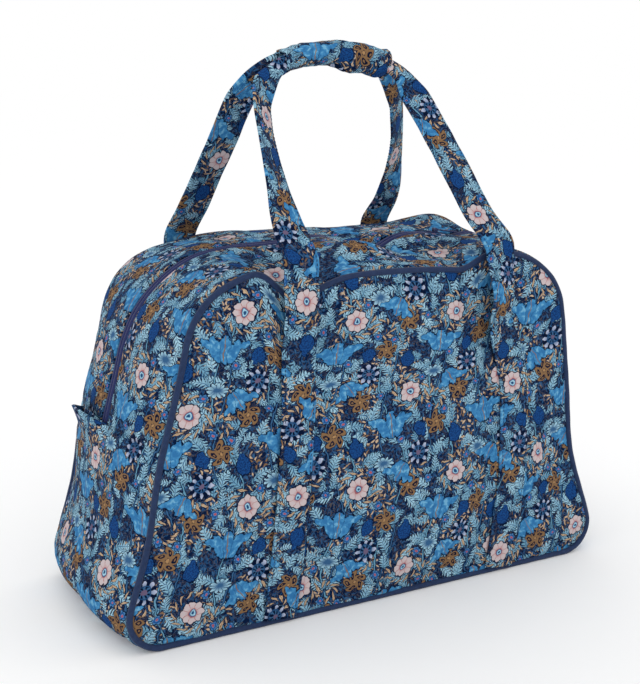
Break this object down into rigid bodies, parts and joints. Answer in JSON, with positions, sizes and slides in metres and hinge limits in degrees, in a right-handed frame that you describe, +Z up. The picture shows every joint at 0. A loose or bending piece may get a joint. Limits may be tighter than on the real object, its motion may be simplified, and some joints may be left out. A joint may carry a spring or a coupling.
{
  "type": "knitting bag",
  "caption": "Soft padded knitting bag with piped panels, a long zip over the top and two strap handles that a wrap holds together.",
  "frame": {"origin": "middle of the base, on the surface that the bag stands on", "axes": "+X across the bag to its right seen from the front, +Y from the front panel to the back panel, +Z up"},
  "size_m": [0.46, 0.1998, 0.4664],
  "materials": {
    "print": "printed cotton, navy ground with a floral print",
    "piping": "navy cotton piping",
    "lining": "plain navy lining",
    "wadding": "white polyester wadding",
    "board": "dark grey base board",
    "zip_tape": "woven navy zip tape",
    "zip_coil": "navy nylon coil",
    "zip_metal": "navy painted zinc",
    "webbing": "grey webbing core",
    "hook_tape": "navy hook and loop tape"
  },
  "bodies": {
    "bag": {"front_panel": "print", "back_panel": "print", "base_gusset": "print", "front_top_gusset": "print", "back_top_gusset": "print", "front_wadding": "wadding", "back_wadding": "wadding", "base_wadding": "wadding", "front_lining": "lining", "back_lining": "lining", "base_lining": "lining", "front_top_lining": "lining", "back_top_lining": "lining", "base_board": "board", "front_piping": "piping", "back_piping": "piping", "front_zip_tape_ends": "zip_tape", "back_zip_tape_ends": "zip_tape", "front_zip_coil_ends": "zip_coil", "back_zip_coil_ends": "zip_coil", "zip_end_stops": "zip_coil", "zip_end_tab_left": "print", "zip_end_tab_right": "print", "front_strap_left": "print", "front_strap_right": "print", "back_strap_left": "print", "back_strap_right": "print"},
    "front_mouth": {"front_mouth_flap": "print", "front_flap_lining": "lining", "front_zip_tape": "zip_tape", "front_zip_coil": "zip_coil"},
    "back_mouth": {"back_mouth_flap": "print", "back_flap_lining": "lining", "back_zip_tape": "zip_tape", "back_zip_coil": "zip_coil"},
    "front_handle": {"front_handle": "print", "front_handle_webbing": "webbing"},
    "back_handle": {"back_handle": "print", "back_handle_webbing": "webbing", "wrap_base": "print", "wrap_loop_patch": "hook_tape"},
    "wrap_flap": {"wrap_flap": "print", "wrap_hook_patch": "hook_tape"},
    "slider": {"zip_slider": "zip_metal"},
    "pull": {"zip_pull": "zip_metal"}
  },
  "joints": [
    {"name": "front_handle_swing", "type": "hinge", "parent": "bag", "child": "front_handle", "pos_m": [0, -0.0995, 0.3], "axis": [1, 0, 0], "range_deg": [0, 205]},
    {"name": "back_handle_swing", "type": "hinge", "parent": "bag", "child": "back_handle", "pos_m": [0, 0.0995, 0.3], "axis": [-1, 0, 0], "range_deg": [0, 205]},
    {"name": "wrap_open", "type": "hinge", "parent": "back_handle", "child": "wrap_flap", "pos_m": [0, 0.0086, 0.46638], "axis": [-1, 0, 0], "range_deg": [0, 150], "deforming": ["wrap_flap", "wrap_hook_patch"]},
    {"name": "front_mouth_lift", "type": "hinge", "parent": "bag", "child": "front_mouth", "pos_m": [0, -0.0787, 0.306], "axis": [1, 0, 0], "range_deg": [0, 55]},
    {"name": "back_mouth_lift", "type": "hinge", "parent": "bag", "child": "back_mouth", "pos_m": [0, 0.0787, 0.306], "axis": [-1, 0, 0], "range_deg": [0, 55]},
    {"name": "zip_slide", "type": "hinge", "parent": "bag", "child": "slider", "pos_m": [0, 0, -0.394], "axis": [0, -1, 0], "range_deg": [0, 18]},
    {"name": "zip_pull_flip", "type": "hinge", "parent": "slider", "child": "pull", "pos_m": [0.11007, 0, 0.30094], "axis": [0, -1, 0], "range_deg": [0, 175]}
  ]
}
